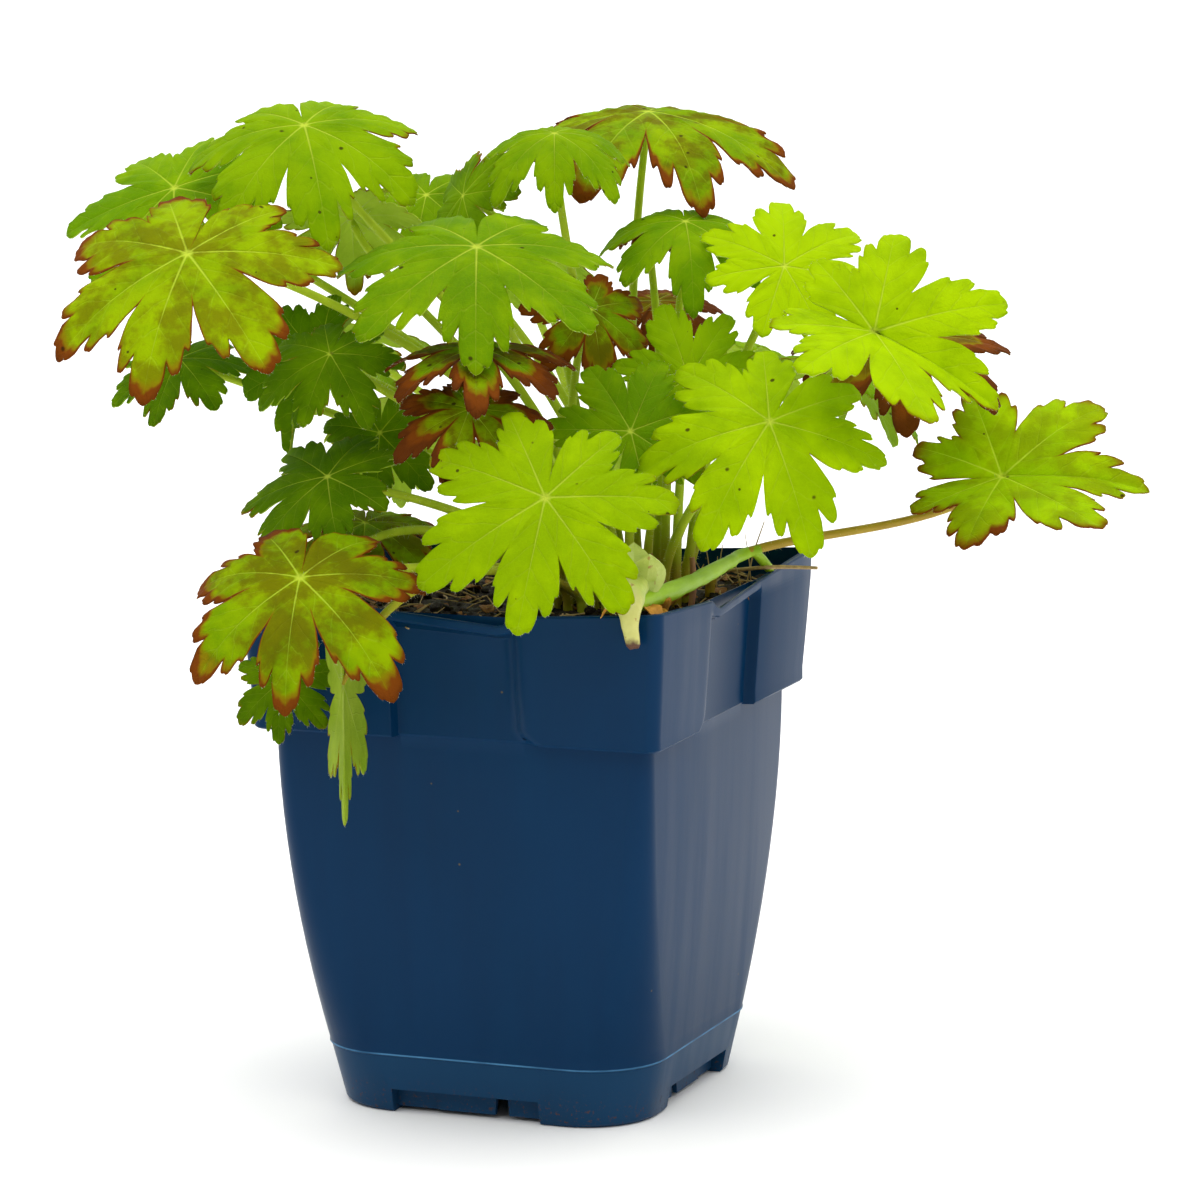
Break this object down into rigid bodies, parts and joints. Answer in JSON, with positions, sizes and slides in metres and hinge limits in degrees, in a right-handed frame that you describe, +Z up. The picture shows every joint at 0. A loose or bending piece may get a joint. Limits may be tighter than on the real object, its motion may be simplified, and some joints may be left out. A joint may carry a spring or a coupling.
{
  "type": "potted cranesbill",
  "caption": "Cranesbill with lobed, toothed leaves on long stalks, growing in a square tapered nursery pot filled with soil.",
  "frame": {"origin": "centre of the small flat pad in the middle of the pot's underside, on the ground, below the middle of the pot's mouth", "axes": "+Z up along the pot's axis; -Y out of the plain front side of the pot and +X out of its right side, the two sides that the picture shows"},
  "size_m": [0.3047, 0.2835, 0.2911],
  "materials": {
    "pot": "satin",
    "soil": "rough and moist",
    "crown": "rough",
    "stem": "matt, slightly hairy",
    "straw": "dry",
    "leaf_bright": "matt, finely hairy",
    "leaf_mid": "matt, finely hairy",
    "leaf_dark": "matt, finely hairy",
    "leaf_red_edged": "matt, red at the rim",
    "leaf_brown": "dry"
  },
  "bodies": {
    "root": {"crown": "crown", "leaf_back_dark": "leaf_dark", "leaf_back_pale": "leaf_dark", "leaf_centre": "leaf_mid", "leaf_centre_olive": "leaf_red_edged", "leaf_centre_red": "leaf_red_edged", "leaf_centre_right": "leaf_mid", "leaf_centre_under": "leaf_red_edged", "leaf_far_left": "leaf_mid", "leaf_far_right": "leaf_bright", "leaf_front": "leaf_bright", "leaf_hanging": "leaf_mid", "leaf_left_folded": "leaf_dark", "leaf_left_inner": "leaf_dark", "leaf_left_red": "leaf_red_edged", "leaf_left_shade": "leaf_dark", "leaf_left_under": "leaf_dark", "leaf_low_red": "leaf_red_edged", "leaf_lower_left": "leaf_dark", "leaf_lower_olive": "leaf_red_edged", "leaf_lowest": "leaf_dark", "leaf_rear_high": "leaf_mid", "leaf_rear_left": "leaf_mid", "leaf_rear_low_left": "leaf_dark", "leaf_rear_low_right": "leaf_dark", "leaf_rear_right": "leaf_mid", "leaf_rear_side": "leaf_mid", "leaf_right_backlit": "leaf_bright", "leaf_right_brown": "leaf_brown", "leaf_right_low": "leaf_bright", "leaf_right_olive": "leaf_mid", "leaf_right_shade": "leaf_brown", "leaf_right_star": "leaf_bright", "leaf_top_dead": "leaf_brown", "leaf_top_edge": "leaf_dark", "leaf_top_front": "leaf_mid", "leaf_top_left": "leaf_mid", "leaf_top_middle": "leaf_mid", "leaf_top_right": "leaf_red_edged", "pot": "pot", "side_shoot": "stem", "soil": "soil", "straw": "straw"}
  },
  "joints": []
}
